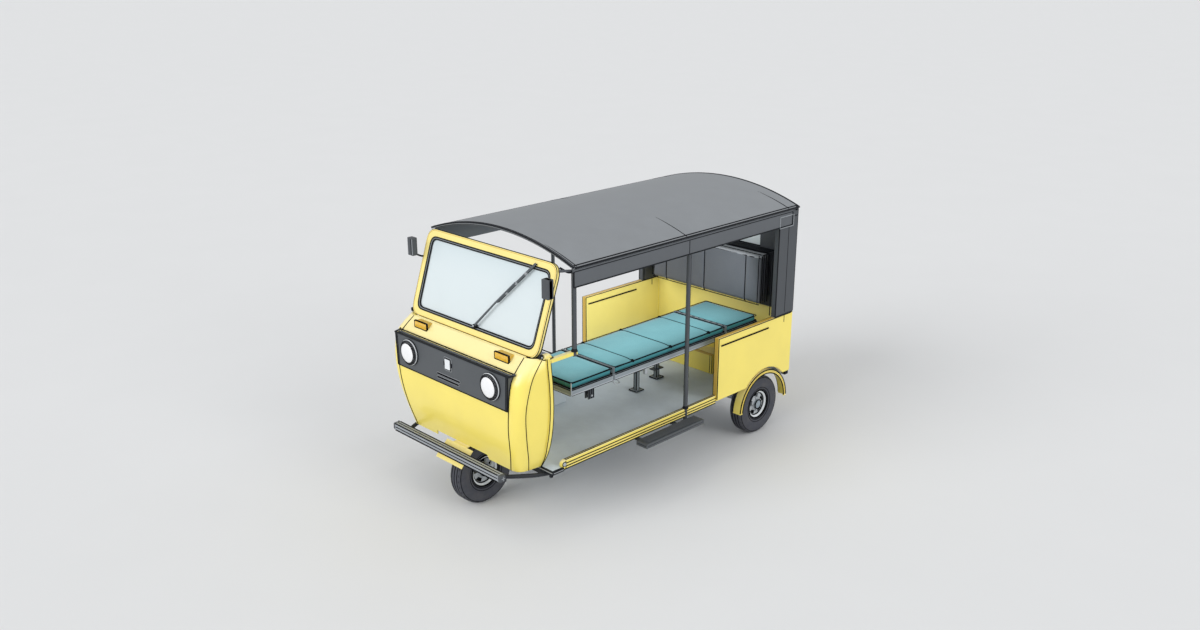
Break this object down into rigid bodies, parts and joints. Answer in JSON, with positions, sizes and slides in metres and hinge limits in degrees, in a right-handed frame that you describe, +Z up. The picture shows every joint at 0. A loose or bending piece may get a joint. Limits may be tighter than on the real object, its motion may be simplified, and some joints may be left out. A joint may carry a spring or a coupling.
{
  "type": "three-wheeled ambulance rickshaw",
  "caption": "Open three-wheeled ambulance with one steered front wheel, curved hard roof, yellow cowl and side panels, and a padded patient cot beside the driver.",
  "frame": {"origin": "on the ground, under the middle of the object's bounding box", "axes": "+Z up, -Y toward the nose, +X toward the vehicle's left side, where the cot is"},
  "size_m": [1.484, 2.624, 1.742],
  "materials": {
    "yellow_paint": "gloss enamel",
    "dark_paint": "satin dark grey",
    "roof_paint": "satin grey",
    "floor_paint": "matt grey",
    "black_paint": "satin black",
    "silver_paint": "satin silver",
    "cot_paint": "satin light grey",
    "rim_paint": "satin white",
    "teal_vinyl": "wipe-clean vinyl",
    "dark_vinyl": "grained vinyl",
    "tyre_rubber": "matt",
    "black_plastic": "grained",
    "lamp_lens": "clear fluted",
    "window_glass": "clear"
  },
  "bodies": {
    "body": {"backrest_cushion": "dark_vinyl", "bench_box": "yellow_paint", "bench_cushion": "dark_vinyl", "centre_post_left": "dark_paint", "centre_post_right": "dark_paint", "chassis_frame": "black_paint", "cot_frame_centre": "cot_paint", "cot_pad_centre": "teal_vinyl", "cowl_front_panel": "yellow_paint", "cowl_side_panel_left": "yellow_paint", "cowl_side_panel_right": "yellow_paint", "driver_seat_box": "dark_paint", "driver_seat_cushion": "dark_vinyl", "engine_block": "black_paint", "floor_pan": "floor_paint", "front_bumper": "black_paint", "front_post_left": "dark_paint", "front_post_right": "dark_paint", "grille_band": "dark_paint", "headlight_left": "lamp_lens", "headlight_right": "lamp_lens", "mirror_left": "black_plastic", "mirror_right": "black_plastic", "rear_axle": "black_paint", "rear_mudguard_left": "yellow_paint", "rear_mudguard_right": "yellow_paint", "rear_panel_lower": "yellow_paint", "rear_panel_upper": "dark_paint", "rear_quarter_left": "dark_paint", "rear_quarter_right": "dark_paint", "rear_side_panel_left": "yellow_paint", "rear_side_panel_right": "yellow_paint", "rear_window_glass": "window_glass", "roof_panel": "roof_paint", "roof_valance_left": "dark_paint", "roof_valance_right": "dark_paint", "side_step_left": "black_paint", "side_step_right": "black_paint", "sill_left": "yellow_paint", "sill_right": "yellow_paint", "windshield_frame": "yellow_paint", "windshield_glass": "window_glass", "wiper": "black_plastic"},
    "steering": {"front_fork": "silver_paint", "handlebar": "black_paint", "front_mudguard": "yellow_paint"},
    "front_wheel": {"front_tyre": "tyre_rubber", "front_rim": "rim_paint"},
    "rear_wheel_left": {"rear_tyre_left": "tyre_rubber", "rear_rim_left": "rim_paint"},
    "rear_wheel_right": {"rear_tyre_right": "tyre_rubber", "rear_rim_right": "rim_paint"},
    "cot_front_section": {"cot_frame_front": "cot_paint", "cot_pad_front": "teal_vinyl"},
    "cot_rear_section": {"cot_frame_rear": "cot_paint", "cot_pad_rear": "teal_vinyl"}
  },
  "joints": [
    {"name": "steering_turn", "type": "hinge", "parent": "body", "child": "steering", "pos_m": [0, -0.8953, 0.6], "axis": [0, 0.2585, 0.966], "range_deg": [-35, 35]},
    {"name": "front_wheel_roll", "type": "hinge", "parent": "steering", "child": "front_wheel", "pos_m": [0, -1.033, 0.2125], "axis": [1, 0, 0], "continuous": true},
    {"name": "rear_wheel_left_roll", "type": "hinge", "parent": "body", "child": "rear_wheel_left", "pos_m": [0.5595, 1.015, 0.2125], "axis": [1, 0, 0], "continuous": true},
    {"name": "rear_wheel_right_roll", "type": "hinge", "parent": "body", "child": "rear_wheel_right", "pos_m": [-0.5595, 1.015, 0.2125], "axis": [1, 0, 0], "continuous": true},
    {"name": "cot_front_fold", "type": "hinge", "parent": "body", "child": "cot_front_section", "pos_m": [0.287, -0.378, 0.773], "axis": [1, 0, 0], "range_deg": [0, 75]},
    {"name": "cot_rear_lift", "type": "hinge", "parent": "body", "child": "cot_rear_section", "pos_m": [0.287, 0.716, 0.86], "axis": [1, 0, 0], "range_deg": [0, 60]}
  ]
}
